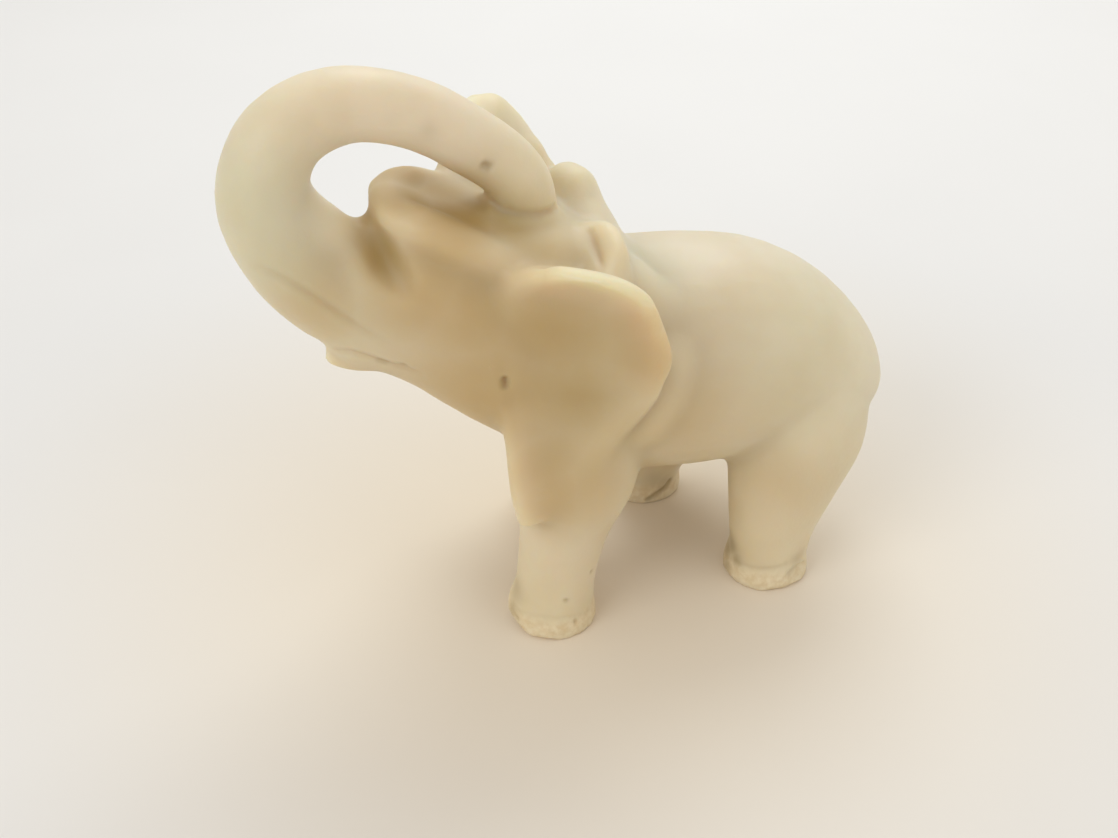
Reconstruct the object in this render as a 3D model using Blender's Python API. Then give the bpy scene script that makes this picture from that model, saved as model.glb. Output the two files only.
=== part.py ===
"""Alabaster elephant figurine, carved from one piece of stone.

The elephant walks with its head thrown up and its trunk curled back in a ring until the
blunt tip rests on the brow. It stands on four feet, faces -Y and has its left side at +X.
"""
import math

import bmesh
import bpy
from mathutils import Vector

# Driving sizes in metres: the block that the figurine is cut from, then its parts
BLOCK_LENGTH = 0.100
BODY_WIDTH = 0.0335
HEAD_WIDTH = 0.0255
FOOT_WIDTH = 0.0135
FOOT_SPREAD = 0.0250
TRUNK_ROOT_WIDTH = 0.0138
TRUNK_TIP_WIDTH = 0.0086
EAR_THICKNESS = 0.0036
EAR_SPREAD = 0.0460
LEFT_EAR_ROOT_WIDTH = 0.0058
RIGHT_EAR_ROOT_WIDTH = 0.0092
RIGHT_EAR_LIFT = 0.0062
RIGHT_EAR_ADVANCE = 0.0054

# Fineness of the carved surface
GRAIN = 0.00075
SOFTENING_ROUNDS = 7
CARVED_TRIANGLES = 9400
RING_SIDES = 28
EAR_STEPS = 10

# Free forms are drawn in hundredths of the block's length. Each point is given as
# forward of the left front foot, left of the middle, and above the table.
SHARE = BLOCK_LENGTH / 100

# along the body, lowest, highest, share of half the body's width, fullness of the section
BODY_SECTIONS = (
    (-55.0, 26, 30, 0.14, 2.0),
    (-53.6, 23, 33.5, 0.42, 2.0),
    (-50.8, 21.5, 38.2, 0.66, 2.0),
    (-45.5, 20, 43.8, 0.86, 2.1),
    (-37.5, 18.5, 48.8, 0.97, 2.1),
    (-28.0, 18, 51.6, 1.00, 2.1),
    (-18.0, 18.5, 53, 0.98, 2.1),
    (-9.0, 20, 54, 0.92, 2.1),
    (-1.0, 23, 54, 0.80, 2.0),
    (4.0, 27, 52, 0.62, 2.0),
    (7.0, 31, 47, 0.36, 2.0),
)

# along the head, lowest, highest, share of half the head's width, fullness of the section
HEAD_SECTIONS = (
    (-11.0, 30, 53, 0.62, 2.0),
    (-6.0, 26, 57.5, 0.90, 2.2),
    (0.0, 26, 59.6, 1.00, 2.4),
    (6.0, 29.5, 61.8, 1.00, 2.5),
    (12.0, 34.5, 64.2, 0.90, 2.5),
    (17.0, 38.5, 65.0, 0.76, 2.2),
    (22.0, 41.5, 63.6, 0.60, 2.0),
    (26.0, 43.5, 63.4, 0.48, 2.0),
    (29.0, 47.5, 60.4, 0.26, 2.0),
)

# brow slab on the head, in the same terms
BROW_SECTIONS = (
    (-9.0, 50, 58.0, 0.50, 2.6),
    (-4.0, 50, 61.2, 0.74, 2.6),
    (2.0, 52, 62.6, 0.84, 2.6),
    (8.0, 54, 64.2, 0.82, 3.0),
    (13.5, 56, 65.8, 0.70, 3.2),
    (17.0, 58, 67.6, 0.56, 2.8),
    (19.4, 59, 67.4, 0.42, 2.6),
    (20.5, 60, 66.0, 0.24, 2.2),
)

# trunk's middle line: forward, above the table, and how far it has thinned from root to tip
TRUNK_LINE = (
    (20.0, 50.0, 0.00),
    (26.4, 54.2, 0.08),
    (31.6, 61.5, 0.25),
    (33.3, 69.5, 0.42),
    (30.0, 76.6, 0.62),
    (22.5, 79.4, 0.82),
    (14.0, 77.3, 0.90),
    (6.6, 72.3, 0.95),
    (2.0, 68.2, 1.00),
    (-0.1, 64.6, 1.03),
    (-0.6, 61.0, 1.10),
)

# each leg: line of forward, left and above in shares, and width in shares of the foot
LEFT_FRONT_LEG = ((0.0, 1.00, -4.0, 1.02), (0.0, 1.00, 0.0, 1.02), (0.0, 1.00, 2.4, 0.97),
                  (-0.4, 0.99, 4.6, 0.89), (-1.1, 0.97, 10.0, 0.89), (-2.4, 0.92, 17.0, 1.02),
                  (-4.0, 0.80, 24.0, 1.36), (-5.5, 0.55, 34.0, 1.40))
RIGHT_FRONT_LEG = ((-8.2, -1.00, -4.0, 0.96), (-8.2, -1.00, 0.0, 0.96), (-8.2, -1.00, 2.4, 0.92),
                   (-8.2, -0.99, 4.6, 0.89), (-7.6, -0.97, 10.0, 0.90), (-6.8, -0.93, 17.0, 1.04),
                   (-5.8, -0.80, 24.0, 1.36), (-5.5, -0.55, 34.0, 1.40))
LEFT_HIND_LEG = ((-34.9, 1.00, -4.0, 1.00), (-34.9, 1.00, 0.0, 1.00), (-34.9, 1.00, 2.4, 0.95),
                 (-35.1, 0.99, 4.6, 0.90), (-35.4, 0.97, 10.0, 1.02), (-37.0, 0.88, 17.0, 1.28),
                 (-39.4, 0.68, 25.0, 1.56), (-40.0, 0.35, 35.0, 1.40))
RIGHT_HIND_LEG = ((-23.4, -1.00, -4.0, 0.96), (-23.4, -1.00, 0.0, 0.96), (-23.4, -1.00, 2.4, 0.92),
                  (-23.6, -0.99, 4.6, 0.88), (-25.4, -0.97, 10.0, 1.00), (-29.6, -0.88, 17.0, 1.30),
                  (-35.5, -0.68, 25.0, 1.60), (-39.0, -0.35, 35.0, 1.40))

# ear from top to tip: above the table, front edge forward and out, rear edge forward and out
# (out in shares of half the ear spread), inward bow of the dish, stone left behind it
EAR_SECTIONS = (
    (63.0, 1.0, 0.79, -4.2, 0.95, 0.0, 0.0),
    (61.8, 2.8, 0.68, -7.4, 0.96, 0.2, 0.5),
    (59.8, 5.2, 0.56, -9.8, 0.96, 0.5, 2.0),
    (56.6, 6.8, 0.48, -12.0, 0.95, 1.1, 5.0),
    (52.0, 7.6, 0.44, -14.0, 0.92, 1.7, 7.0),
    (46.5, 7.6, 0.43, -14.8, 0.87, 1.9, 7.0),
    (41.0, 7.2, 0.46, -13.6, 0.82, 1.8, 7.0),
    (36.0, 6.8, 0.51, -10.1, 0.78, 1.2, 6.0),
    (31.0, 6.8, 0.60, -5.4, 0.75, 0.7, 3.5),
    (26.5, 6.8, 0.67, -0.6, 0.74, 0.3, 1.0),
    (21.6, 6.2, 0.71, 3.6, 0.73, 0.0, 0.0),
)
EAR_END_THICKNESS = 0.9
EAR_EDGE_THICKNESS = 0.5
EAR_EDGE_FULLNESS = 6
EAR_FRONT_ADVANCE = 0.6
LEFT_EAR_ROOT_BACK = -11.9
RIGHT_EAR_ROOT_BACK = -13.2
EAR_ROOT_TOP = 61.9


def place(forward, left, above):
    """Point of the figurine: shares of the block forward and up, metres to the left."""
    return Vector((left, -forward * SHARE, above * SHARE))


def superellipse(angle, half_width, half_height, fullness):
    """Offset sideways and upwards on a rounded-box section."""
    cosine = math.cos(angle)
    sine = math.sin(angle)
    side = math.copysign(abs(cosine) ** (2 / fullness), cosine) * half_width
    rise = math.copysign(abs(sine) ** (2 / fullness), sine) * half_height
    return side, rise


def loft(stone, rings):
    """Skin a closed form over rings of equally many points."""
    loops = [[stone.verts.new(point) for point in ring] for ring in rings]
    for first, second in zip(loops, loops[1:]):
        for i in range(len(first)):
            j = (i + 1) % len(first)
            stone.faces.new((first[i], first[j], second[j], second[i]))
    stone.faces.new(loops[0][::-1])
    stone.faces.new(loops[-1])


def smooth_line(points, steps):
    """Catmull-Rom curve through the points, with a number of steps between each two."""
    ends = [2 * points[0] - points[1]] + list(points) + [2 * points[-1] - points[-2]]
    line = []
    for a, b, c, d in zip(ends, ends[1:], ends[2:], ends[3:]):
        for i in range(steps):
            t = i / steps
            line.append(0.5 * (2 * b + (c - a) * t + (2 * a - 5 * b + 4 * c - d) * t * t
                               + (3 * b - a - 3 * c + d) * t ** 3))
    line.append(points[-1].copy())
    return line


def upright_form(stone, sections, width, steps=3):
    """Body, head or brow slab: upright sections along the middle plane."""
    rings = []
    for forward, low, high, share, fullness in smooth_line([Vector(row) for row in sections], steps):
        ring = []
        for i in range(RING_SIDES):
            angle = math.tau * i / RING_SIDES
            side, rise = superellipse(angle, share * width / 2, (high - low) / 2, fullness)
            ring.append(place(forward, side, (low + high) / 2 + rise))
        rings.append(ring)
    loft(stone, rings)


def tube(stone, stations, steps=4):
    """Round limb through stations of a point and a radius."""
    curve = smooth_line([Vector((*point, radius)) for point, radius in stations], steps)
    centres = [Vector(station[:3]) for station in curve]
    rings = []
    across = None
    for i, centre in enumerate(centres):
        ahead = centres[min(i + 1, len(centres) - 1)] - centres[max(i - 1, 0)]
        ahead.normalize()
        if across is None:
            across = Vector((1, 0, 0)) if abs(ahead.x) < 0.9 else Vector((0, 1, 0))
        across = (across - ahead * across.dot(ahead)).normalized()
        upward = ahead.cross(across)
        radius = curve[i][3]
        rings.append([centre + across * (radius * math.cos(math.tau * k / RING_SIDES))
                      + upward * (radius * math.sin(math.tau * k / RING_SIDES))
                      for k in range(RING_SIDES)])
    loft(stone, rings)


def trunk(stone):
    """Trunk rising from the face and curling back in a ring."""
    stations = []
    for forward, above, thinned in TRUNK_LINE:
        width = TRUNK_ROOT_WIDTH + (TRUNK_TIP_WIDTH - TRUNK_ROOT_WIDTH) * thinned
        stations.append((place(forward, 0, above), width / 2))
    tube(stone, stations)


def leg(stone, line):
    """Leg from its flared foot up into the body."""
    stations = [(place(forward, out * FOOT_SPREAD / 2, above), width * FOOT_WIDTH / 2)
                for forward, out, above, width in line]
    tube(stone, stations)


def brows(stone):
    """Two brow ridges that frame the flat forehead and meet in a steep round front."""
    for side in (-1, 1):
        tube(stone, [
            (place(17.4, side * 0.12 * HEAD_WIDTH, 65.4), 2.2 * SHARE),
            (place(15.0, side * 0.22 * HEAD_WIDTH, 64.6), 2.8 * SHARE),
            (place(10.0, side * 0.31 * HEAD_WIDTH, 62.0), 2.8 * SHARE),
            (place(3.0, side * 0.36 * HEAD_WIDTH, 58.4), 2.6 * SHARE),
            (place(-4.0, side * 0.34 * HEAD_WIDTH, 55.4), 2.4 * SHARE),
        ])


def ear_edge(t):
    """Share of the ear's thickness across it: full in the middle, thin at both edges."""
    fullness = math.sqrt(max(0.0, 1 - (2 * t - 1) ** EAR_EDGE_FULLNESS))
    return EAR_EDGE_THICKNESS + (1 - EAR_EDGE_THICKNESS) * fullness


def ear(stone, side, lift, advance):
    """Dished ear flap that hangs from its top rim."""
    top = EAR_SECTIONS[0][0]
    tip = EAR_SECTIONS[-1][0]
    rings = []
    for above, front, front_out, rear, rear_out, bow, backing in EAR_SECTIONS:
        raised = (above - tip) / (top - tip)
        height = above + raised * lift / SHARE
        thickness = EAR_THICKNESS * (EAR_END_THICKNESS if above in (top, tip) else 1)
        outer = []
        inner = []
        for i in range(EAR_STEPS + 1):
            t = i / EAR_STEPS
            swell = math.sin(math.pi * t) * SHARE
            ahead = EAR_FRONT_ADVANCE + (1 - EAR_FRONT_ADVANCE) * t
            forward = front + (rear - front) * t + raised * ahead * advance / SHARE
            out = (front_out + (rear_out - front_out) * t) * EAR_SPREAD / 2 - bow * swell
            half = thickness / 2 * ear_edge(t)
            outer.append(place(forward, side * (out + half), height))
            inner.append(place(forward, side * (out - half - backing * swell), height))
        ring = outer + inner[::-1]
        rings.append(ring if side > 0 else ring[::-1])
    loft(stone, rings)


def ear_root(stone, side, lift, width, back):
    """Rounded ridge that carries the ear from the nape out to its top rim."""
    rise = lift / SHARE
    radius = width / 2
    forward = back + radius / SHARE
    tube(stone, [
        (place(forward - 0.8, side * 0.5 * SHARE, 54.6), 0.91 * radius),
        (place(forward, side * 6.0 * SHARE, EAR_ROOT_TOP - radius / SHARE), radius),
        (place(forward, side * 9.5 * SHARE, EAR_ROOT_TOP - 0.4 - radius / SHARE), radius),
        (place(forward + 0.9, side * 13.5 * SHARE, 55.4), 0.80 * radius),
        (place(forward + 3.4, side * 18.0 * SHARE, 58.4 + rise / 2), 0.48 * radius),
    ])


def left_shoulder(stone):
    """Swell that runs from behind the left ear's root down into the back."""
    tube(stone, [
        (place(-8.0, 7.0 * SHARE, 50.4), 4.2 * SHARE),
        (place(-11.4, 7.2 * SHARE, 50.5), 4.6 * SHARE),
        (place(-15.0, 7.4 * SHARE, 48.2), 4.8 * SHARE),
        (place(-20.0, 7.4 * SHARE, 44.0), 5.0 * SHARE),
    ])


def trunk_root_fillet(stone):
    """Web that fills the lower front corner of the trunk's ring."""
    tube(stone, [
        (place(31.6, 0, 68.6), 4.4 * SHARE),
        (place(29.6, 0, 64.8), 4.6 * SHARE),
        (place(26.6, 0, 61.4), 4.6 * SHARE),
        (place(24.4, 0, 58.2), 4.4 * SHARE),
    ])


def lower_lip(stone):
    """Small pointed lip under the trunk."""
    tube(stone, [
        (place(18.0, 0, 43.5), 3.4 * SHARE),
        (place(23.5, 0, 43.2), 2.4 * SHARE),
        (place(26.6, 0, 43.4), 1.5 * SHARE),
        (place(28.4, 0, 44.0), 0.8 * SHARE),
    ])


def tail(stone):
    """Thin tail in low relief down the right of the rump."""
    tube(stone, [
        (place(-50.4, -4.4 * SHARE, 36.0), 1.5 * SHARE),
        (place(-52.2, -5.2 * SHARE, 32.5), 1.6 * SHARE),
        (place(-52.4, -6.4 * SHARE, 29.0), 1.7 * SHARE),
        (place(-50.8, -8.0 * SHARE, 26.0), 1.7 * SHARE),
        (place(-47.8, -9.4 * SHARE, 23.5), 1.8 * SHARE),
        (place(-44.6, -10.2 * SHARE, 22.0), 2.0 * SHARE),
    ])


def mesh_object(name, shapes):
    """Object made of the closed shapes that the functions add to one mesh."""
    stone = bmesh.new()
    for shape, *values in shapes:
        shape(stone, *values)
    bmesh.ops.recalc_face_normals(stone, faces=stone.faces)
    mesh = bpy.data.meshes.new(name)
    stone.to_mesh(mesh)
    stone.free()
    made = bpy.data.objects.new(name, mesh)
    bpy.context.scene.collection.objects.link(made)
    return made


def eye_hollow(stone, side):
    """Drilled valley between the brow's front end and the root of the trunk."""
    tube(stone, [
        (place(22.6, side * 1.6 * SHARE, 66.0), 1.5 * SHARE),
        (place(21.2, side * 5.2 * SHARE, 63.2), 2.7 * SHARE),
        (place(19.8, side * 8.1 * SHARE, 60.3), 3.0 * SHARE),
        (place(17.8, side * 10.6 * SHARE, 57.0), 1.9 * SHARE),
    ])


def nape_groove(stone):
    """Cut that parts the back of the head from the left ear's root and top rim."""
    tube(stone, [
        (place(-7.4, 3.8 * SHARE, 61.2), 1.1 * SHARE),
        (place(-7.2, 8.0 * SHARE, 60.3), 1.7 * SHARE),
        (place(-6.8, 12.0 * SHARE, 59.9), 1.6 * SHARE),
        (place(-4.8, 14.6 * SHARE, 60.4), 1.3 * SHARE),
        (place(-1.0, 14.8 * SHARE, 61.0), 1.1 * SHARE),
        (place(2.4, 14.2 * SHARE, 61.6), 0.9 * SHARE),
    ])


def cutter(name, shapes):
    """Guide object that only cuts: hidden in renders and drawn as wire."""
    made = mesh_object(name, shapes)
    made.hide_render = True
    made.display_type = "WIRE"
    return made


def table_block(stone):
    """Block under the table top, which cuts the soles flat."""
    size = 4 * BLOCK_LENGTH
    bmesh.ops.create_cube(stone, size=size)
    bmesh.ops.translate(stone, verts=stone.verts, vec=(0, 0, -size / 2))


def add_modifier(made, name, kind, **settings):
    """Add one modifier with its settings."""
    modifier = made.modifiers.new(name, kind)
    for key, value in settings.items():
        setattr(modifier, key, value)


def apply_modifiers(made):
    """Turn what the modifiers make into the object's own mesh."""
    bpy.context.view_layer.update()
    evaluated = made.evaluated_get(bpy.context.evaluated_depsgraph_get())
    mesh = bpy.data.meshes.new_from_object(evaluated)
    made.modifiers.clear()
    made.data = mesh


def alabaster():
    """Cream, waxy stone with a soft polish."""
    stone = bpy.data.materials.new("alabaster")
    stone.use_nodes = True
    shader = stone.node_tree.nodes["Principled BSDF"]
    shader.inputs["Base Color"].default_value = (0.65, 0.56, 0.41, 1)
    shader.inputs["Roughness"].default_value = 0.45
    shader.inputs["Metallic"].default_value = 0.0
    return stone


def build_elephant():
    """Join the forms, carve the hollows, soften the edges and cut the soles flat."""
    forms = [
        (upright_form, BODY_SECTIONS, BODY_WIDTH),
        (upright_form, HEAD_SECTIONS, HEAD_WIDTH),
        (upright_form, BROW_SECTIONS, HEAD_WIDTH),
        (trunk,),
        (trunk_root_fillet,),
        (brows,),
        (left_shoulder,),
        (lower_lip,),
        (tail,),
    ]
    forms += [(leg, line) for line in (LEFT_FRONT_LEG, RIGHT_FRONT_LEG, LEFT_HIND_LEG, RIGHT_HIND_LEG)]
    forms += [
        (ear, 1, 0.0, 0.0),
        (ear_root, 1, 0.0, LEFT_EAR_ROOT_WIDTH, LEFT_EAR_ROOT_BACK),
        (ear, -1, RIGHT_EAR_LIFT, RIGHT_EAR_ADVANCE),
        (ear_root, -1, RIGHT_EAR_LIFT, RIGHT_EAR_ROOT_WIDTH, RIGHT_EAR_ROOT_BACK),
    ]
    elephant = mesh_object("elephant", forms)

    hollows = cutter("hollows", [(eye_hollow, 1), (eye_hollow, -1), (nape_groove,)])
    add_modifier(hollows, "one shape", "REMESH", mode="VOXEL", voxel_size=GRAIN / 2)
    table = cutter("table", [(table_block,)])

    add_modifier(elephant, "one stone", "REMESH", mode="VOXEL", voxel_size=GRAIN)
    add_modifier(elephant, "carve hollows", "BOOLEAN", operation="DIFFERENCE", object=hollows)
    add_modifier(elephant, "even grain", "REMESH", mode="VOXEL", voxel_size=GRAIN)
    add_modifier(elephant, "rubbed smooth", "SMOOTH", factor=0.5, iterations=SOFTENING_ROUNDS)
    add_modifier(elephant, "flat soles", "BOOLEAN", operation="DIFFERENCE", object=table)
    apply_modifiers(elephant)

    carved = sum(len(face.vertices) - 2 for face in elephant.data.polygons)
    add_modifier(elephant, "fewer faces", "DECIMATE", ratio=min(1.0, CARVED_TRIANGLES / carved))
    apply_modifiers(elephant)
    for vertex in elephant.data.vertices:
        if vertex.co.z < GRAIN / 2:
            vertex.co.z = 0
    return elephant


def centre_over_table(made):
    """Move the mesh so that the middle of its bounding box stands over the origin."""
    xs = [vertex.co.x for vertex in made.data.vertices]
    ys = [vertex.co.y for vertex in made.data.vertices]
    middle = Vector(((min(xs) + max(xs)) / 2, (min(ys) + max(ys)) / 2, 0))
    for vertex in made.data.vertices:
        vertex.co -= middle


def main():
    for leftover in list(bpy.data.objects):
        bpy.data.objects.remove(leftover)
    elephant = build_elephant()
    centre_over_table(elephant)
    elephant.data.materials.clear()
    elephant.data.materials.append(alabaster())
    elephant.data.shade_smooth()


main()
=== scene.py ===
"""Looks of the alabaster elephant figurine: carved surface, stone, table, light and camera.

The carved solid is copied, made fine enough for a carver's marks, and worked over with
strokes, pits and flakes. Lengths in the carving are millimetres in the row frame.
"""

import math

import bmesh
import bpy
import numpy as np
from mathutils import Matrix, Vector, noise
from mathutils.bvhtree import BVHTree


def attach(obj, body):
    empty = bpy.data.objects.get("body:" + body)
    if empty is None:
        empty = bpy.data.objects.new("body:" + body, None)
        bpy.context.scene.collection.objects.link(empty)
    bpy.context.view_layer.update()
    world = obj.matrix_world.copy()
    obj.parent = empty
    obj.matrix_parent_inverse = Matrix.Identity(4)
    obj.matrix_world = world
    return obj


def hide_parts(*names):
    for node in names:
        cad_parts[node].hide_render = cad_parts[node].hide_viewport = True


MM = 0.001

# The carved mesh: size of its cells, how it is softened, and the most triangles it may keep
MERGE_DISTANCE = 0.001
GRAIN = 0.36
SOFTENING_ROUNDS = 14
SOFTENING_SHARE = 0.5
MOST_TRIANGLES = 190000

# View of the photograph: place in metres, angles in degrees, lens and sensor in millimetres
CAMERA_PLACE = (0.1582, -0.0514, 0.1507)
CAMERA_PITCH = 37.0
CAMERA_TURN = 73.0
CAMERA_LENS = 45.08
CAMERA_SENSOR = 36.0

# The right ear sits higher and further forward than the left, most of all at its top
EAR_TIP_HEIGHT = 21.6
EAR_TOP_HEIGHT = 63.0
RIGHT_EAR_LIFT = 6.2
RIGHT_EAR_ADVANCE = 4.6

# Lines on the left side of the head, the last round the trunk's tip; the right side mirrors them
BROW_RIDGE = (
    (2.7, -27.9, 66.1), (5.4, -26.7, 65.4), (7.9, -24.2, 64.7), (9.8, -20.2, 63.5),
    (10.9, -15.5, 61.6), (11.5, -12.8, 60.6),
)
EYE_VALLEY = (
    (1.4, -28.7, 64.3), (2.5, -28.5, 63.0), (3.5, -28.1, 61.5), (4.8, -27.7, 59.8),
    (6.0, -27.3, 58.4), (7.3, -27.1, 57.3), (8.3, -27.0, 55.4),
)
TRUNK_EDGE = (
    (4.1, -44.7, 62.3), (5.3, -43.0, 61.9), (6.0, -40.8, 60.5), (6.3, -38.2, 58.3),
    (6.5, -35.4, 55.5), (7.0, -32.0, 52.0), (7.8, -29.0, 49.6), (8.4, -26.6, 48.0),
)
MOUTH_LINE = (
    (2.7, -35.4, 46.5), (5.2, -33.3, 47.4), (5.9, -31.2, 46.6), (6.7, -28.5, 45.3),
    (7.9, -26.1, 44.8), (8.6, -24.0, 44.4),
)
TIP_SEAT = (
    (1.4, -13.6, 64.8), (3.0, -12.0, 63.9), (4.2, -9.6, 63.5), (4.4, -7.0, 63.1),
    (3.2, -4.6, 62.8), (1.0, -3.8, 62.6),
)

# Lines on the left ear; the right ear has the same ones, raised with it
EAR_DISH = ((15.9, -3.7, 50.4), (13.8, -7.1, 44.9), (15.2, -4.1, 40.4), (15.5, -6.2, 36.0))
EAR_EDGE = (
    (21.4, 4.7, 54.5), (21.1, 5.4, 51.1), (20.4, 5.5, 47.1), (19.5, 4.2, 43.2), (18.7, 2.2, 39.5),
    (18.2, 0.0, 35.8), (18.0, -2.7, 32.3), (18.1, -6.3, 28.5), (18.0, -9.6, 24.8),
)
EAR_TOP_RIM = (
    (16.5, -9.6, 61.6), (18.2, -8.0, 62.8), (19.4, -5.8, 63.0), (20.6, -3.4, 62.8),
    (21.6, -0.8, 62.0), (22.0, 1.8, 60.4), (21.6, 3.8, 57.5),
)
EAR_FRONT_JOIN = (
    (12.4, -14.9, 49.5), (12.6, -14.4, 44.0), (12.6, -13.4, 38.9), (14.0, -12.9, 34.7),
    (15.2, -13.6, 30.7),
)

# Folds behind the left ear that run softly into the body; the valley crosses the nape
NAPE_ROLL = (
    (6.0, 1.0, 61.5), (8.7, 1.4, 61.8), (10.9, 2.1, 60.7), (12.3, 2.4, 58.8), (13.2, 2.6, 56.7),
)
NAPE_VALLEY = (
    (-11.0, 4.0, 53.0), (-7.0, 4.8, 54.2), (-3.0, 5.4, 54.6), (0.5, 5.5, 54.6), (3.4, 5.4, 54.6),
    (6.0, 5.0, 54.8), (8.6, 5.0, 54.6), (10.8, 5.0, 53.8), (13.6, 5.0, 53.2),
)
EAR_BACK = (
    (16.0, 6.6, 53.0), (15.6, 8.2, 48.6), (15.3, 8.5, 44.6), (15.4, 8.2, 41.9), (15.9, 7.3, 38.4),
    (15.8, 5.2, 34.5), (16.0, 2.4, 31.0),
)

# Fuller rounds on the far side: rear edge of the right ear, and the nape beside it
FAR_EAR_REAR = (
    (-19.9, -8.5, 68.7), (-19.9, -5.6, 67.1), (-19.2, -4.1, 65.3), (-18.8, -2.8, 63.5),
    (-15.2, -0.9, 61.2),
)
NAPE_TOP = (
    (-10.5, -1.2, 61.4), (-9.4, -0.6, 61.5), (-7.8, 0.2, 61.8), (-5.4, 1.6, 61.6),
    (-3.1, 2.6, 60.5),
)

# Cuts and marks that are on one side alone
NAPE_CUT = (
    (4.3, -0.3, 60.3), (6.4, -0.4, 59.6), (8.6, -0.5, 58.9), (11.4, -0.7, 58.4),
    (13.0, -1.2, 58.5),
)
EAR_SLIT = ((12.6, -14.4, 44.6), (12.5, -14.3, 43.3), (12.5, -14.3, 42.1))
TRUNK_PIT = ((4.2, -14.7, 71.4), (4.2, -13.8, 70.9), (4.2, -12.9, 70.3))
MOUTH_MARKS = (((6.0, -30.3, 46.0), (6.3, -29.3, 45.5), (6.7, -28.5, 45.3)),
               ((7.3, -27.5, 45.5), (7.8, -26.8, 45.5), (8.0, -26.2, 45.3)))
FRONT_FOOT_STEP = (
    (14.0, -14.0, 3.4), (15.3, -13.4, 3.7), (17.5, -11.3, 4.3), (18.5, -8.5, 4.1),
    (18.0, -5.3, 3.5), (16.3, -2.9, 2.4),
)
HIND_FOOT_STEP = (
    (13.4, 20.6, 3.2), (15.8, 21.8, 3.9), (17.5, 23.5, 4.3), (18.3, 25.6, 4.7), (18.3, 28.0, 5.2),
)
RIGHT_HIND_CRACK = ((-6.4, 13.7, 0.5), (-6.3, 15.5, 1.6), (-6.9, 17.6, 2.6), (-7.4, 18.8, 4.0))

# Small pits in the two near feet: places, half width and depth, and the dirt and painted shade in each
FOOT_PITS = ((18.1, -7.5, 7.0), (16.9, -3.3, 10.5), (18.5, -6.2, 2.8), (14.8, -14.2, 2.2))
PIT_WIDTH = 0.35
PIT_DEPTH = 0.25
PIT_DIRT_AND_SHADE_WIDTH = 0.33
PIT_DIRT_AND_SHADE = 0.6

# Carver's strokes: line, half width, depth (a ridge where negative), fade at the start and the end
FOLD_STROKES = (
    (NAPE_ROLL, 1.6, 0.7, 1.0, 1.5),
    (NAPE_VALLEY, 2.8, -1.5, 8.0, 3.0),
    (EAR_BACK, 2.4, -1.9, 6.0, 3.0),
    (NAPE_CUT, 0.9, -0.3, 1.0, 1.0),
    (FAR_EAR_REAR, 3.6, -0.9, 2.0, 3.0),
    (NAPE_TOP, 3.4, -1.5, 2.0, 3.0),
)
HEAD_STROKES = (
    (BROW_RIDGE, 1.7, -0.3, 2.0, 6.0),
    (EYE_VALLEY, 1.8, 0.4, 0.0, 6.0),
    (TRUNK_EDGE, 0.7, 0.25, 4.0, 8.0),
    (MOUTH_LINE, 0.7, 0.35, 1.5, 3.0),
    (TIP_SEAT, 0.55, 0.5, 1.5, 1.0),
)
EAR_STROKES = (
    (EAR_DISH, 4.5, 0.1, 3.0, 3.0),
    (EAR_TOP_RIM, 1.3, -0.15, 3.0, 3.0),
    (EAR_FRONT_JOIN, 1.0, 0.1, 5.0, 5.0),
)
ONE_SIDE_STROKES = (
    (NAPE_CUT, 0.6, 0.4, 1.0, 2.5),
    (EAR_SLIT, 0.45, 0.6, 0.6, 0.8),
    (TRUNK_PIT, 0.5, 0.3, 0.8, 0.8),
    (MOUTH_MARKS[0], 0.35, 0.3, 0.6, 0.6),
    (MOUTH_MARKS[1], 0.35, 0.3, 0.6, 0.6),
    (FRONT_FOOT_STEP, 0.4, 0.07, 1.0, 2.5),
    (HIND_FOOT_STEP, 0.4, 0.08, 1.0, 2.5),
    (RIGHT_HIND_CRACK, 0.4, 0.35, 0.5, 0.8),
)

# Lines that rubbing has rounded more than the rest, with the half width of the rubbing
RUBBED_LINES = ((EAR_EDGE, 2.6), (EAR_BACK, 2.6), (NAPE_VALLEY, 3.6), (NAPE_ROLL, 2.6))
RUBBING_ROUNDS = 80
RUBBING_SHARE = 0.6

# Slow unevenness of the rubbed stone: size, depth and seed of its waves, and the height above the
# soles at which they reach their full depth
RUBBED_WAVES = ((9.0, 0.14, 3), (3.2, 0.04, 11))
SOLE_FADE = 2.0

# Stone clouds and painted light and shade, painted as soft spots: middle, reach and strength
# Tan spots, with painted shade under the belly and under the trunk's tip
TAN_AND_SHADE_SPOTS = (
    ((11.6, -17.5, 42.4), 14.0, 1.0), ((13.2, -11.0, 51.6), 12.0, 0.9), ((9.8, -23.1, 56.3), 9.0, 1.0),
    ((11.5, -18.4, 53.4), 11.0, 1.0), ((16.3, 10.7, 34.5), 12.0, 0.7), ((14.1, 11.0, 44.7), 10.0, 0.4),
    ((16.5, 18.2, 33.0), 10.0, 0.5), ((17.7, 24.9, 21.5), 9.0, 0.6), ((18.5, -4.4, 27.4), 8.0, 0.8),
    ((16.4, -10.0, 30.7), 8.0, 0.8), ((20.0, 1.4, 53.6), 7.0, 0.6), ((20.5, 4.0, 48.0), 8.0, 0.8),
    ((17.6, -8.6, 27.0), 7.0, 0.9), ((15.0, -8.0, 22.0), 6.0, 0.6), ((6.0, -37.5, 57.0), 7.0, 0.7),
    ((8.0, -20.0, 63.0), 7.0, 0.9), ((4.5, -17.0, 63.5), 6.0, 0.9), ((9.5, -8.0, 59.5), 7.0, 0.7),
    ((6.0, 8.0, 52.0), 5.0, 0.35), ((-13.0, -14.0, 46.0), 14.0, 0.9), ((-16.0, 12.0, 36.0), 13.0, 0.7),
    ((0.0, 44.0, 30.0), 12.0, 0.3), ((0.0, 2.0, 24.0), 18.0, 0.8), ((-17.0, 16.0, 20.0), 9.0, 0.6),
    ((-17.0, -3.0, 24.0), 9.0, 0.6),
)
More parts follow.
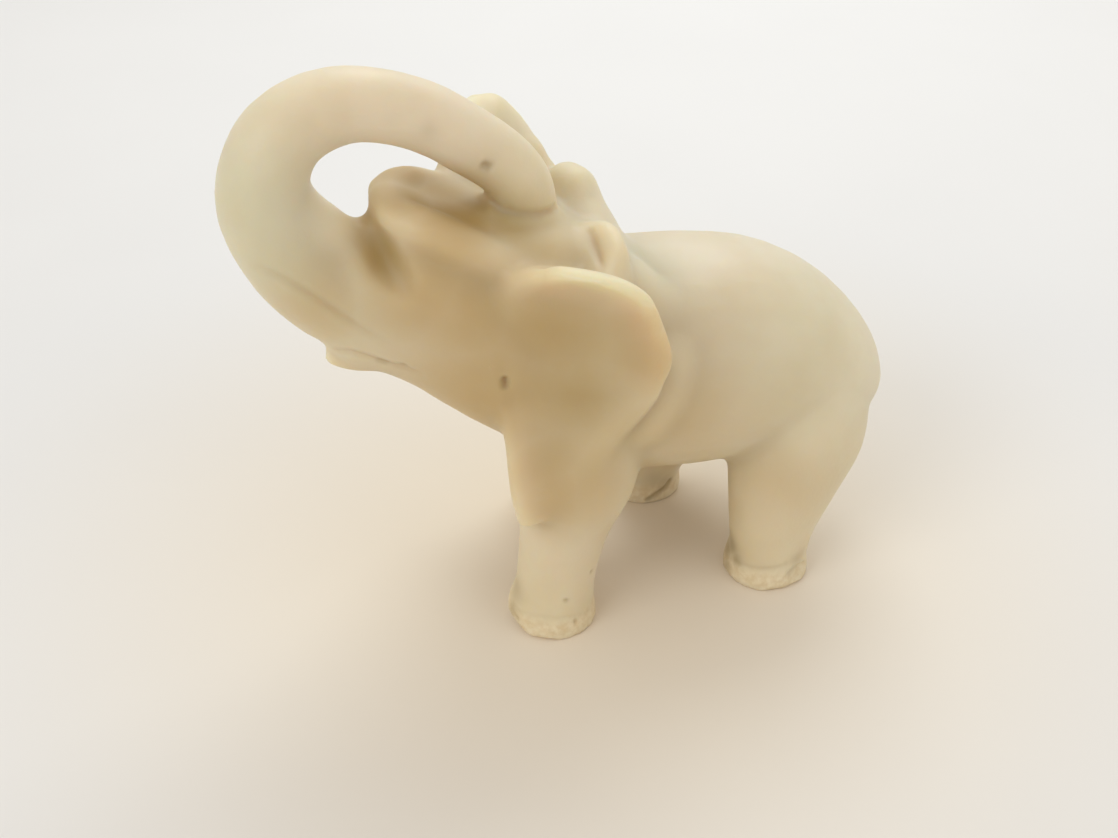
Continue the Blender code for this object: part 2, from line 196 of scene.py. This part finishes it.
# Ochre spots, with painted shade under the trunk's tip, in the ear's dish and in the eye hollows
OCHRE_AND_SHADE_SPOTS = (
    ((15.2, -4.1, 40.4), 7.0, 0.6), ((15.1, -7.5, 36.0), 6.0, 0.3), ((15.9, -3.7, 50.4), 9.0, 0.3),
    ((3.7, -18.5, 64.1), 6.0, 0.9), ((5.5, -11.5, 62.0), 4.5, 0.6), ((-2.2, -18.5, 64.7), 5.5, 0.9),
    ((1.8, -22.7, 66.4), 5.0, 0.9), ((-4.0, -22.0, 66.0), 5.0, 0.9), ((0.9, -15.3, 64.0), 4.0, 0.8),
    ((8.0, 0.0, 58.0), 5.0, 0.2), ((4.2, -28.2, 60.6), 3.4, 0.5), ((-4.2, -28.2, 60.6), 3.4, 0.5),
    ((-14.8, -7.0, 43.0), 8.0, 0.6), ((-5.5, -11.5, 62.0), 4.5, 0.45), ((0.0, -12.0, 34.0), 10.0, 0.35),
)
GREEN_SPOTS = (
    ((4.3, -44.9, 71.0), 11.0, 0.85), ((5.6, -42.8, 63.8), 8.0, 0.7), ((3.9, -10.2, 66.1), 5.0, 0.6),
    ((14.0, 34.1, 38.4), 13.0, 0.5), ((8.1, 33.0, 45.0), 10.0, 0.3), ((21.0, -4.4, 63.0), 5.0, 0.7),
    ((4.0, 8.0, 52.6), 6.0, 0.9), ((-14.0, 30.0, 38.0), 13.0, 0.5), ((-8.0, 0.0, 61.6), 5.0, 0.5),
    ((-19.5, -6.0, 66.5), 6.0, 0.6),
)
PINK_SPOTS = (
    ((3.2, -31.0, 82.7), 10.0, 0.8), ((3.0, -20.3, 80.0), 10.0, 0.8), ((0.0, 17.6, 51.9), 12.0, 0.6),
    ((17.7, -8.4, 14.8), 7.0, 0.4), ((18.0, 24.1, 12.3), 7.0, 0.3), ((12.0, 33.0, 30.0), 10.0, 0.5),
)
# Pale spots that paint light on the rump, the feet and the trunk's tip
PALE_AND_LIT_SPOTS = (
    ((17.0, -8.5, 4.5), 5.0, 0.9), ((12.0, 37.0, 35.0), 10.0, 0.9), ((3.5, -9.0, 67.5), 4.5, 0.8),
    ((17.7, 28.0, 4.5), 4.0, 0.4), ((-12.0, 37.0, 35.0), 10.0, 0.6), ((-7.0, 16.5, 6.0), 3.5, 0.9),
)

# Dirt in hollows together with painted shade: soft spots, and lines with the half width of their
# darkening and its strength
DIRT_AND_SHADE_SPOTS = (
    ((4.5, -20.8, 76.7), 1.3, 0.14), ((12.4, -13.6, 5.6), 2.0, 0.35), ((13.2, -14.4, 2.6), 1.6, 0.45),
    ((13.4, -14.7, 0.8), 1.3, 0.5), ((12.2, 20.8, 5.2), 1.9, 0.6), ((11.0, 20.8, 3.4), 2.0, 0.55),
    ((14.0, 21.0, 4.0), 1.3, 0.5), ((12.4, 20.4, 1.4), 1.3, 0.5), ((17.9, 29.4, 5.4), 1.6, 0.3),
    ((-6.5, 15.2, 5.0), 2.2, 0.25), ((-6.6, 17.0, 4.0), 1.8, 0.25), ((-13.0, -6.0, 3.0), 1.8, 0.35),
    ((-18.4, 17.0, 3.0), 1.8, 0.35),
)
DIRT_AND_SHADE_LINES = (
    (TRUNK_PIT, 0.8, 0.5),
    (EAR_SLIT, 0.5, 0.7),
    (MOUTH_MARKS[0], 0.45, 0.55),
    (MOUTH_MARKS[1], 0.45, 0.45),
    (FRONT_FOOT_STEP, 0.45, 0.08),
    (HIND_FOOT_STEP, 0.45, 0.15),
    (RIGHT_HIND_CRACK, 0.45, 0.8),
)
DIRT_AND_SHADE_FADE = 0.6

# Tints that follow the relief, ochre with painted shade in hollows and painted highlight on edges:
# the softening that it is measured against, then for hollows and for edges the depth or height that
# takes the whole tint, and its strength
RELIEF_ROUNDS = 90
RELIEF_SHARE = 0.6
HOLLOW_DEPTH = 0.5
HOLLOW_OCHRE_AND_SHADE = 0.15
EDGE_HEIGHT = 0.6
EDGE_PALE_AND_HIGHLIGHT = 0.25

# Tints along lines, ochre with painted shade in the eye valleys and painted highlight on the ears'
# top rims: strength, then half width, fade at the start and fade at the end
LINE_TINT = 0.35
EYE_OCHRE_AND_SHADE_SPREAD = (3.2, 0.0, 5.0)
EAR_RIM_HIGHLIGHT_SPREAD = (2.0, 2.0, 2.0)

# Feet: middle of each sole with the number of flakes broken off its rim, and the size of the rim
FEET = (((12.5, -8.0), 10), ((12.5, 27.0), 11), ((-12.5, 0.2), 7), ((-12.5, 15.4), 8))
FOOT_RADIUS = 6.7
RIM_HEIGHT = 4.4
RIM_WIDTH = 1.6
RIM_SIDE_FADE = 0.8
RIM_TOP_FADE = 1.8

# Flakes: how far one reaches, and the range of their slopes in degrees, heights and depths
FLAKE_REACH = 3.4
FLAKE_SLOPES = (-55.0, 30.0)
FLAKE_HEIGHTS = (0.2, 2.0)
FLAKE_DEPTHS = (0.1, 0.4)
FLAKE_SEED = 20

# Clouds in the stone: size in metres, detail, and the range of the noise that shows. Crystals and
# scratches are finer than this in the real stone, and are drawn as coarse as they need to show.
STONE_CLOUDS = (
    ("slow", 0.026, 2.0, 0.36, 0.66),
    ("drift", 0.013, 3.0, 0.44, 0.72),
    ("sheen", 0.006, 3.0, 0.30, 0.70),
    ("crystals", 0.0011, 3.0, 0.35, 0.65),
    ("scratches", 0.0007, 4.0, 0.20, 0.80),
)
CLOUD_ROUGHNESS = 0.55

# Colours of the stone: the ground, then tints that lie over one another where their masks are;
# the tan and ochre tints also carry painted shade, and the pale tint painted light
GROUND_TONES = ("DED3B9", "D5C7A4")
STONE_TINTS = (
    ("tan_and_shade", 0.9, "BB9C65"),
    ("green", 0.8, "C8C4A4"),
    ("pink", 0.7, "DFD0B8"),
    ("pale_and_lit", 0.6, "E6DCC0"),
    ("ochre_and_shade", 0.85, "A6822F"),
)
DRIFT_TINT = "C4AD80"
DRIFT_SHARE = 0.22
RAW_TONES = ("D8BE92", "E8D6B4")
RAW_SHARE = 0.65
# Darkening for dirt and for painted shade
DIRT_AND_SHADE_TINT = "8A7346"

# Surface of the stone: roughness where it is rubbed most and least, and what a broken rim adds
STONE_IOR = 1.52
RUBBED_ROUGHNESS = (0.46, 0.58)
BROKEN_ROUGHNESS = 0.22
SCRATCH_STRENGTH = 0.1
SCRATCH_DEPTH = 0.0002

# Light inside the stone: its share where rubbed and where broken, and how far each colour goes
INNER_LIGHT = (0.85, 0.2)
INNER_LIGHT_RADIUS = (1.0, 0.72, 0.42)
INNER_LIGHT_SCALE = 0.007

# Table top in metres: its size, its tones and the warm light round the figurine
TABLE_SIZE = 3.0
BOARD_TONES = ("E1DEDA", "E5E2DE")
BOARD_ROUGHNESS = 0.8
BOARD_UNEVENNESS = 0.05
GLOW_TINT = "EBD6B2"
GLOW_REACH = 0.12
GLOW_SHARE = 0.6

# Light: colour and strength of the room, and the lamps with their place, aim, size, power and colour
ROOM_COLOUR = (1.0, 0.98, 0.955, 1.0)
ROOM_STRENGTH = 0.68
LAMPS = (
    ("front_window", (0.38, -0.80, 0.60), (0, 0, 0.03), 0.7, 3.1, (0.93, 0.97, 1.0)),
    ("side_window", (0.60, 0.55, 0.50), (0, 0.01, 0.03), 0.7, 0.9, (1.0, 0.985, 0.96)),
    ("rear_window", (-0.30, 0.16, 0.42), (-0.08, 0.02, 0.03), 0.35, 1.05, (0.87, 0.945, 1.0)),
)


def mirrored(points):
    """The same line on the right side of the head."""
    return tuple((-x, y, z) for x, y, z in points)


def on_right_ear(points):
    """The same line on the right ear, which is raised and set forward."""
    moved = []
    for x, y, z in points:
        raised = (z - EAR_TIP_HEIGHT) / (EAR_TOP_HEIGHT - EAR_TIP_HEIGHT)
        moved.append((-x, y - raised * RIGHT_EAR_ADVANCE, z + raised * RIGHT_EAR_LIFT))
    return tuple(moved)


def merged_copy(node, name):
    """Closed copy of a node whose mesh is loose triangles."""
    shape = bmesh.new()
    shape.from_mesh(node.data)
    bmesh.ops.remove_doubles(shape, verts=shape.verts, dist=MERGE_DISTANCE * MM)
    mesh = bpy.data.meshes.new(name)
    shape.to_mesh(mesh)
    shape.free()
    made = bpy.data.objects.new(name, mesh)
    bpy.context.scene.collection.objects.link(made)
    return made


def apply_modifier(made, kind, **settings):
    """Add one modifier and turn its result into the object's own mesh."""
    modifier = made.modifiers.new(kind.lower(), kind)
    for key, value in settings.items():
        setattr(modifier, key, value)
    bpy.context.view_layer.update()
    evaluated = made.evaluated_get(bpy.context.evaluated_depsgraph_get())
    mesh = bpy.data.meshes.new_from_object(evaluated)
    made.modifiers.clear()
    made.data = mesh


class Carving:
    """The stone while it is worked: places and outward normals of its points, in millimetres."""

    def __init__(self, made):
        self.mesh = made.data
        self.read()

    def read(self):
        """Take the places and normals from the mesh."""
        flat = np.empty(len(self.mesh.vertices) * 3, np.float32)
        self.mesh.vertices.foreach_get("co", flat)
        self.places = flat.reshape(-1, 3).astype(float) / MM
        self.mesh.vertices.foreach_get("normal", flat)
        self.normals = flat.reshape(-1, 3).astype(float)

    def write(self):
        """Put the worked places back in the mesh and read its new normals."""
        self.mesh.vertices.foreach_set("co", (self.places * MM).astype(np.float32).ravel())
        self.mesh.update()
        self.read()

    def surface(self):
        """Tree that finds the nearest place on the stone."""
        return BVHTree.FromPolygons([vertex.co / MM for vertex in self.mesh.vertices],
                                    [tuple(face.vertices) for face in self.mesh.polygons])


def seated(surface, points):
    """The points moved to the nearest place on the stone."""
    return [tuple(surface.find_nearest(Vector(point))[0]) for point in points]


def spot_strength(places, middle, reach):
    """One in the middle of a soft spot, falling to nothing at about twice its reach."""
    away = np.linalg.norm(places - np.array(middle), axis=1)
    return np.exp(-(away / reach) ** 2)


def line_strength(places, points, width, rise=0.0, fall=0.0):
    """One on a line, falling softly to its sides, and over a length at its start and its end."""
    nearest = np.full(len(places), np.inf)
    along = np.zeros(len(places))
    run = 0.0
    points = np.array(points, float)
    for start, end in zip(points, points[1:]):
        step = end - start
        length = np.linalg.norm(step)
        share = np.clip((places - start) @ step / length ** 2, 0, 1)
        away = np.linalg.norm(places - start - share[:, None] * step, axis=1)
        closer = away < nearest
        nearest[closer] = away[closer]
        along[closer] = (run + share * length)[closer]
        run += length
    strength = np.exp(-(nearest / width) ** 2)
    if rise:
        strength *= np.clip(along / rise, 0, 1)
    if fall:
        strength *= np.clip((run - along) / fall, 0, 1)
    return strength


def softened(mesh, places, rounds, share):
    """The places, moved round after round by a share of the way to the middle of their neighbours."""
    edges = np.empty(len(mesh.edges) * 2, np.int32)
    mesh.edges.foreach_get("vertices", edges)
    first, second = edges.reshape(-1, 2).T
    count = len(places)
    neighbours = np.bincount(first, minlength=count) + np.bincount(second, minlength=count)
    soft = places.copy()
    for _ in range(rounds):
        for axis in range(3):
            total = (np.bincount(first, soft[second, axis], count)
                     + np.bincount(second, soft[first, axis], count))
            soft[:, axis] += share * (total / neighbours - soft[:, axis])
    return soft


def cut_stroke(carving, surface, points, width, depth, rise, fall):
    """Cut a soft groove along the line, or raise a ridge where the depth is negative."""
    strength = line_strength(carving.places, seated(surface, points), width, rise, fall)
    carving.places -= carving.normals * (depth * strength)[:, None]


def flake(carving, middle, outward, depth):
    """Break off what stands beyond a small flat face."""
    beyond = (carving.places - middle + outward * depth) @ outward
    near = np.linalg.norm(carving.places - middle, axis=1) < FLAKE_REACH
    cut = np.where(near & (beyond > 0), beyond, 0)
    carving.places -= cut[:, None] * outward


def break_rim(carving, centre, count, chance):
    """Flakes around the flared rim of one foot."""
    for _ in range(count):
        angle = chance.uniform(0, math.tau)
        slope = math.radians(chance.uniform(*FLAKE_SLOPES))
        around = np.array([math.cos(angle), math.sin(angle), 0.0])
        middle = np.array([*centre, chance.uniform(*FLAKE_HEIGHTS)]) + FOOT_RADIUS * around
        outward = around * math.cos(slope) + np.array([0.0, 0.0, math.sin(slope)])
        flake(carving, middle, outward, chance.uniform(*FLAKE_DEPTHS))


def rubbed_waves(places, size, depth, seed):
    """Slow unevenness that hand rubbing leaves in a soft stone."""
    shift = Vector((seed, 2 * seed, 3 * seed))
    return depth * np.array([noise.noise(Vector(place) / size + shift) for place in places])


def ease_folds(made):
    """Fill the folds behind the left ear and on the nape, and round out the head's far side."""
    carving = Carving(made)
    surface = carving.surface()
    for points, *values in FOLD_STROKES:
        cut_stroke(carving, surface, points, *values)
    carving.write()


def ease_ear(carving, surface):
    """Rub the rear edge of the left ear and the folds of the nape rounder than the rest."""
    share = np.zeros(len(carving.places))
    for points, width in RUBBED_LINES:
        share = np.maximum(share, line_strength(carving.places, seated(surface, points), width))
    share *= RUBBING_SHARE
    carving.places = softened(carving.mesh, carving.places, RUBBING_ROUNDS, share)
    carving.write()


def carve(made):
    """Work the figurine over: edges and hollows first, then marks, wear and broken foot rims.

    Gives back the surface as it was before, on which the painted lines are seated.
    """
    carving = Carving(made)
    surface = carving.surface()
    ease_ear(carving, surface)
    for points, *values in HEAD_STROKES:
        cut_stroke(carving, surface, points, *values)
        cut_stroke(carving, surface, mirrored(points), *values)
    for points, *values in EAR_STROKES:
        cut_stroke(carving, surface, points, *values)
        cut_stroke(carving, surface, on_right_ear(points), *values)
    carving.write()
    for points, *values in ONE_SIDE_STROKES:
        cut_stroke(carving, surface, points, *values)
    for pit in FOOT_PITS:
        depth = PIT_DEPTH * spot_strength(carving.places, pit, PIT_WIDTH)
        carving.places -= carving.normals * depth[:, None]
    carving.write()

    waves = sum(rubbed_waves(carving.places, *values) for values in RUBBED_WAVES)
    above_sole = np.clip(carving.places[:, 2] / SOLE_FADE, 0, 1)
    carving.places += carving.normals * (waves * above_sole)[:, None]
    chance = np.random.default_rng(FLAKE_SEED)
    for centre, count in FEET:
        break_rim(carving, centre, count, chance)
    carving.places[:, 2] = np.maximum(carving.places[:, 2], 0)
    carving.write()
    return surface


def relief(made):
    """How far each point stands out of its softened surroundings, in millimetres."""
    carving = Carving(made)
    soft = softened(made.data, carving.places, RELIEF_ROUNDS, RELIEF_SHARE)
    return ((carving.places - soft) * carving.normals).sum(axis=1)


def spotted(places, spots):
    """Strength of the strongest soft spot at each place."""
    strongest = np.zeros(len(places))
    for middle, reach, strength in spots:
        strongest = np.maximum(strongest, strength * spot_strength(places, middle, reach))
    return strongest


def foot_rims(places):
    """One on the flared rims of the feet, nothing elsewhere."""
    rims = np.zeros(len(places))
    for centre, _ in FEET:
        away = np.hypot(places[:, 0] - centre[0], places[:, 1] - centre[1])
        out = np.clip((away - FOOT_RADIUS + RIM_WIDTH) / RIM_SIDE_FADE, 0, 1)
        near = away < FOOT_RADIUS + RIM_WIDTH
        low = np.clip((RIM_HEIGHT - places[:, 2]) / RIM_TOP_FADE, 0, 1)
        rims = np.maximum(rims, out * near * low)
    return rims


def paint_masks(made, surface):
    """Numbers from 0 to 1: stone clouds and dirt with painted shade, pale edges with painted highlight,
    broken rims.
    """
    places = Carving(made).places
    stands = relief(made)
    # Ochre of the stone with painted shade under the trunk's tip, in the ear's dish, in the eye valleys
    # and in the hollows of the relief
    ochre_and_shade = spotted(places, OCHRE_AND_SHADE_SPOTS) + HOLLOW_OCHRE_AND_SHADE * np.clip(-stands / HOLLOW_DEPTH, 0, 1)
    for points in (EYE_VALLEY, mirrored(EYE_VALLEY)):
        ochre_and_shade += LINE_TINT * line_strength(places, seated(surface, points), *EYE_OCHRE_AND_SHADE_SPREAD)

    # Paler stone with painted light on the rump, the feet and the trunk's tip, and painted highlight on
    # raised edges and the ears' top rims
    pale_and_lit = spotted(places, PALE_AND_LIT_SPOTS) + EDGE_PALE_AND_HIGHLIGHT * np.clip(stands / EDGE_HEIGHT, 0, 1)
    for points in (EAR_TOP_RIM, on_right_ear(EAR_TOP_RIM)):
        pale_and_lit += LINE_TINT * line_strength(places, seated(surface, points), *EAR_RIM_HIGHLIGHT_SPREAD)

    # Dirt with painted shade in the crack, slits and pits, along the feet's steps and on the far hind
    # foot
    dirt_and_shade = spotted(places, DIRT_AND_SHADE_SPOTS)
    for points, width, strength in DIRT_AND_SHADE_LINES:
        line = seated(surface, points)
        dirt_and_shade += strength * line_strength(places, line, width, DIRT_AND_SHADE_FADE, DIRT_AND_SHADE_FADE)
    for pit in FOOT_PITS:
        dirt_and_shade += PIT_DIRT_AND_SHADE * spot_strength(places, pit, PIT_DIRT_AND_SHADE_WIDTH)

    masks = {
        # The tan mask holds painted shade under the belly and under the trunk's tip
        "tan_and_shade": spotted(places, TAN_AND_SHADE_SPOTS),
        "ochre_and_shade": ochre_and_shade,
        "green": spotted(places, GREEN_SPOTS),
        "pink": spotted(places, PINK_SPOTS),
        "pale_and_lit": pale_and_lit,
        "broken": foot_rims(places),
        "dirt_and_shade": dirt_and_shade,
    }
    for name, values in masks.items():
        layer = made.data.attributes.new(name, "FLOAT", "POINT")
        layer.data.foreach_set("value", np.clip(values, 0, 1).astype(np.float32))


def linear(code):
    """Linear colour of an sRGB hex value."""
    levels = [int(code[start:start + 2], 16) / 255 for start in (0, 2, 4)]
    return tuple(level / 12.92 if level <= 0.04045 else ((level + 0.055) / 1.055) ** 2.4
                 for level in levels) + (1.0,)


def add_node(tree, kind, settings=None, inputs=None, links=None):
    """Add one node with its settings, input values and incoming links."""
    node = tree.nodes.new(kind)
    for key, value in (settings or {}).items():
        setattr(node, key, value)
    for key, value in (inputs or {}).items():
        node.inputs[key].default_value = value
    for key, source in (links or {}).items():
        tree.links.new(source, node.inputs[key])
    return node


def rubbed_alabaster():
    """Alabaster, sawn and rubbed smooth by hand, unpolished: waxy, and lit some millimetres deep.

    The eye reads warm cream with slow tan, green and pink clouds, ochre in the hollows, and
    matt, sugary stone where the foot rims broke. Painted shade lies in the tan and the ochre, and
    painted light in the paler parts.
    """
    stone = bpy.data.materials.new("rubbed alabaster")
    stone.use_nodes = True
    tree = stone.node_tree
    shader = tree.nodes["Principled BSDF"]
    coordinates = add_node(tree, "ShaderNodeTexCoord").outputs["Object"]

    clouds = {}
    for name, size, detail, low, high in STONE_CLOUDS:
        patches = add_node(tree, "ShaderNodeTexNoise", None,
                           {"Scale": 1 / size, "Detail": detail, "Roughness": CLOUD_ROUGHNESS},
                           {"Vector": coordinates})
        spread = add_node(tree, "ShaderNodeMapRange", None, {"From Min": low, "From Max": high},
                          {"Value": patches.outputs["Fac"]})
        clouds[name] = spread.outputs["Result"]

    # From the palest ground to the dirt and painted shade, each tint lies over the ones before it
    light, dark = GROUND_TONES
    ground = add_node(tree, "ShaderNodeMix", {"data_type": "RGBA"},
                      {"A": linear(light), "B": linear(dark)}, {"Factor": clouds["slow"]})
    colour = ground.outputs["Result"]
    # The tan and ochre tints carry painted shade too, and the pale tint painted light
    for name, share, tint in STONE_TINTS:
        mask = add_node(tree, "ShaderNodeAttribute", {"attribute_name": name})
        part = add_node(tree, "ShaderNodeMath", {"operation": "MULTIPLY"}, {1: share},
                        {0: mask.outputs["Fac"]})
        layer = add_node(tree, "ShaderNodeMix", {"data_type": "RGBA"}, {"B": linear(tint)},
                         {"Factor": part.outputs[0], "A": colour})
        colour = layer.outputs["Result"]
    part = add_node(tree, "ShaderNodeMath", {"operation": "MULTIPLY"}, {1: DRIFT_SHARE},
                    {0: clouds["drift"]})
    drifted = add_node(tree, "ShaderNodeMix", {"data_type": "RGBA"}, {"B": linear(DRIFT_TINT)},
                       {"Factor": part.outputs[0], "A": colour})

    # Sugary stone on the broken rims, then dirt and painted shade
    dark, light = RAW_TONES
    raw = add_node(tree, "ShaderNodeMix", {"data_type": "RGBA"},
                   {"A": linear(dark), "B": linear(light)}, {"Factor": clouds["crystals"]})
    broken = add_node(tree, "ShaderNodeAttribute", {"attribute_name": "broken"}).outputs["Fac"]
    part = add_node(tree, "ShaderNodeMath", {"operation": "MULTIPLY"}, {1: RAW_SHARE}, {0: broken})
    chipped = add_node(tree, "ShaderNodeMix", {"data_type": "RGBA"}, None,
                       {"Factor": part.outputs[0], "A": drifted.outputs["Result"],
                        "B": raw.outputs["Result"]})
    # Dirt and painted shade read from their mask
    dirt_and_shade = add_node(tree, "ShaderNodeAttribute", {"attribute_name": "dirt_and_shade"})
    darkened = add_node(tree, "ShaderNodeMix", {"data_type": "RGBA"}, {"B": linear(DIRT_AND_SHADE_TINT)},
                     {"Factor": dirt_and_shade.outputs["Fac"], "A": chipped.outputs["Result"]})
    tree.links.new(darkened.outputs["Result"], shader.inputs["Base Color"])

    smooth, dull = RUBBED_ROUGHNESS
    polish = add_node(tree, "ShaderNodeMapRange", None, {"To Min": smooth, "To Max": dull},
                      {"Value": clouds["sheen"]})
    matt = add_node(tree, "ShaderNodeMapRange", None, {"To Max": BROKEN_ROUGHNESS}, {"Value": broken})
    roughness = add_node(tree, "ShaderNodeMath", {"operation": "ADD"}, None,
                         {0: polish.outputs["Result"], 1: matt.outputs["Result"]})
    tree.links.new(roughness.outputs[0], shader.inputs["Roughness"])

    rubbed_light, broken_light = INNER_LIGHT
    depth = add_node(tree, "ShaderNodeMapRange", None,
                     {"To Min": rubbed_light, "To Max": broken_light}, {"Value": broken})
    tree.links.new(depth.outputs["Result"], shader.inputs["Subsurface Weight"])
    shader.inputs["Subsurface Radius"].default_value = INNER_LIGHT_RADIUS
    shader.inputs["Subsurface Scale"].default_value = INNER_LIGHT_SCALE
    shader.inputs["IOR"].default_value = STONE_IOR

    bump = add_node(tree, "ShaderNodeBump", None,
                    {"Strength": SCRATCH_STRENGTH, "Distance": SCRATCH_DEPTH},
                    {"Height": clouds["scratches"]})
    tree.links.new(bump.outputs["Normal"], shader.inputs["Normal"])
    return stone


def painted_board():
    """Painted board with a matt white coat, very slightly uneven in tone.

    It reads warmer near the figurine, where light comes through the stone.
    """
    board = bpy.data.materials.new("matt painted board")
    board.use_nodes = True
    tree = board.node_tree
    shader = tree.nodes["Principled BSDF"]
    shader.inputs["Roughness"].default_value = BOARD_ROUGHNESS
    coordinates = add_node(tree, "ShaderNodeTexCoord").outputs["Object"]
    tone = add_node(tree, "ShaderNodeTexNoise", None,
                    {"Scale": 1 / BOARD_UNEVENNESS, "Detail": 2.0}, {"Vector": coordinates})
    dark, light = BOARD_TONES
    coat = add_node(tree, "ShaderNodeMix", {"data_type": "RGBA"},
                    {"A": linear(dark), "B": linear(light)}, {"Factor": tone.outputs["Fac"]})
    distance = add_node(tree, "ShaderNodeVectorMath", {"operation": "LENGTH"}, None,
                        {0: coordinates})
    glow = add_node(tree, "ShaderNodeMapRange", {"interpolation_type": "SMOOTHSTEP"},
                    {"From Min": 0.0, "From Max": GLOW_REACH, "To Min": GLOW_SHARE, "To Max": 0.0},
                    {"Value": distance.outputs["Value"]})
    warmed = add_node(tree, "ShaderNodeMix", {"data_type": "RGBA"}, {"B": linear(GLOW_TINT)},
                      {"Factor": glow.outputs["Result"], "A": coat.outputs["Result"]})
    tree.links.new(warmed.outputs["Result"], shader.inputs["Base Color"])
    return board


def make_elephant(node):
    """The figurine as one carved mesh."""
    elephant = merged_copy(node, "alabaster_elephant")
    apply_modifier(elephant, "REMESH", mode="VOXEL", voxel_size=GRAIN * MM)
    ease_folds(elephant)
    apply_modifier(elephant, "REMESH", mode="VOXEL", voxel_size=GRAIN * MM)
    apply_modifier(elephant, "SMOOTH", factor=SOFTENING_SHARE, iterations=SOFTENING_ROUNDS)
    surface = carve(elephant)
    triangles = sum(len(face.vertices) - 2 for face in elephant.data.polygons)
    apply_modifier(elephant, "DECIMATE", ratio=min(1.0, MOST_TRIANGLES / triangles))
    paint_masks(elephant, surface)
    elephant.data.materials.clear()
    elephant.data.materials.append(rubbed_alabaster())
    elephant.data.shade_smooth()
    return elephant


def make_table():
    """Wide table top under the feet."""
    bpy.ops.mesh.primitive_plane_add(size=TABLE_SIZE, location=(0, 0, 0))
    table = bpy.context.object
    table.name = "table_top"
    table.data.materials.append(painted_board())
    return table


def soft_lamp(name, place, aim, size, power, colour):
    """Round studio lamp that points from its place to its aim."""
    lamp = bpy.data.lights.new(name, "AREA")
    lamp.shape = "DISK"
    lamp.size = size
    lamp.energy = power
    lamp.color = colour
    made = bpy.data.objects.new(name, lamp)
    made.location = place
    made.rotation_euler = (Vector(aim) - Vector(place)).to_track_quat("-Z", "Y").to_euler()
    bpy.context.scene.collection.objects.link(made)


def light_the_scene():
    """High-key daylight: a bright room with soft windows in front, beside and on the far side."""
    room = bpy.data.worlds.new("bright room")
    room.use_nodes = True
    background = room.node_tree.nodes["Background"]
    background.inputs["Color"].default_value = ROOM_COLOUR
    background.inputs["Strength"].default_value = ROOM_STRENGTH
    bpy.context.scene.world = room
    for lamp in LAMPS:
        soft_lamp(*lamp)
    bpy.context.scene.view_settings.view_transform = "Standard"


def place_camera():
    """Camera at the photograph's angle."""
    camera = bpy.data.cameras.new("camera")
    camera.lens = CAMERA_LENS
    camera.sensor_width = CAMERA_SENSOR
    made = bpy.data.objects.new("camera", camera)
    made.location = CAMERA_PLACE
    made.rotation_euler = (math.radians(90 - CAMERA_PITCH), 0, math.radians(CAMERA_TURN))
    bpy.context.scene.collection.objects.link(made)
    bpy.context.scene.camera = made


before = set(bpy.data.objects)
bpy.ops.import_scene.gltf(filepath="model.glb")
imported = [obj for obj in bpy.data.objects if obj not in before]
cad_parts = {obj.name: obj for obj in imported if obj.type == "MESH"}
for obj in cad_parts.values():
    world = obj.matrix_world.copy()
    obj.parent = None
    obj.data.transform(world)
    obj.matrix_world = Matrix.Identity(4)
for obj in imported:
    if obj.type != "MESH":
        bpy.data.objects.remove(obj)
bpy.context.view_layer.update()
place_camera()
elephant = make_elephant(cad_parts["elephant"])
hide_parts("elephant")
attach(elephant, "root")
make_table()
light_the_scene()
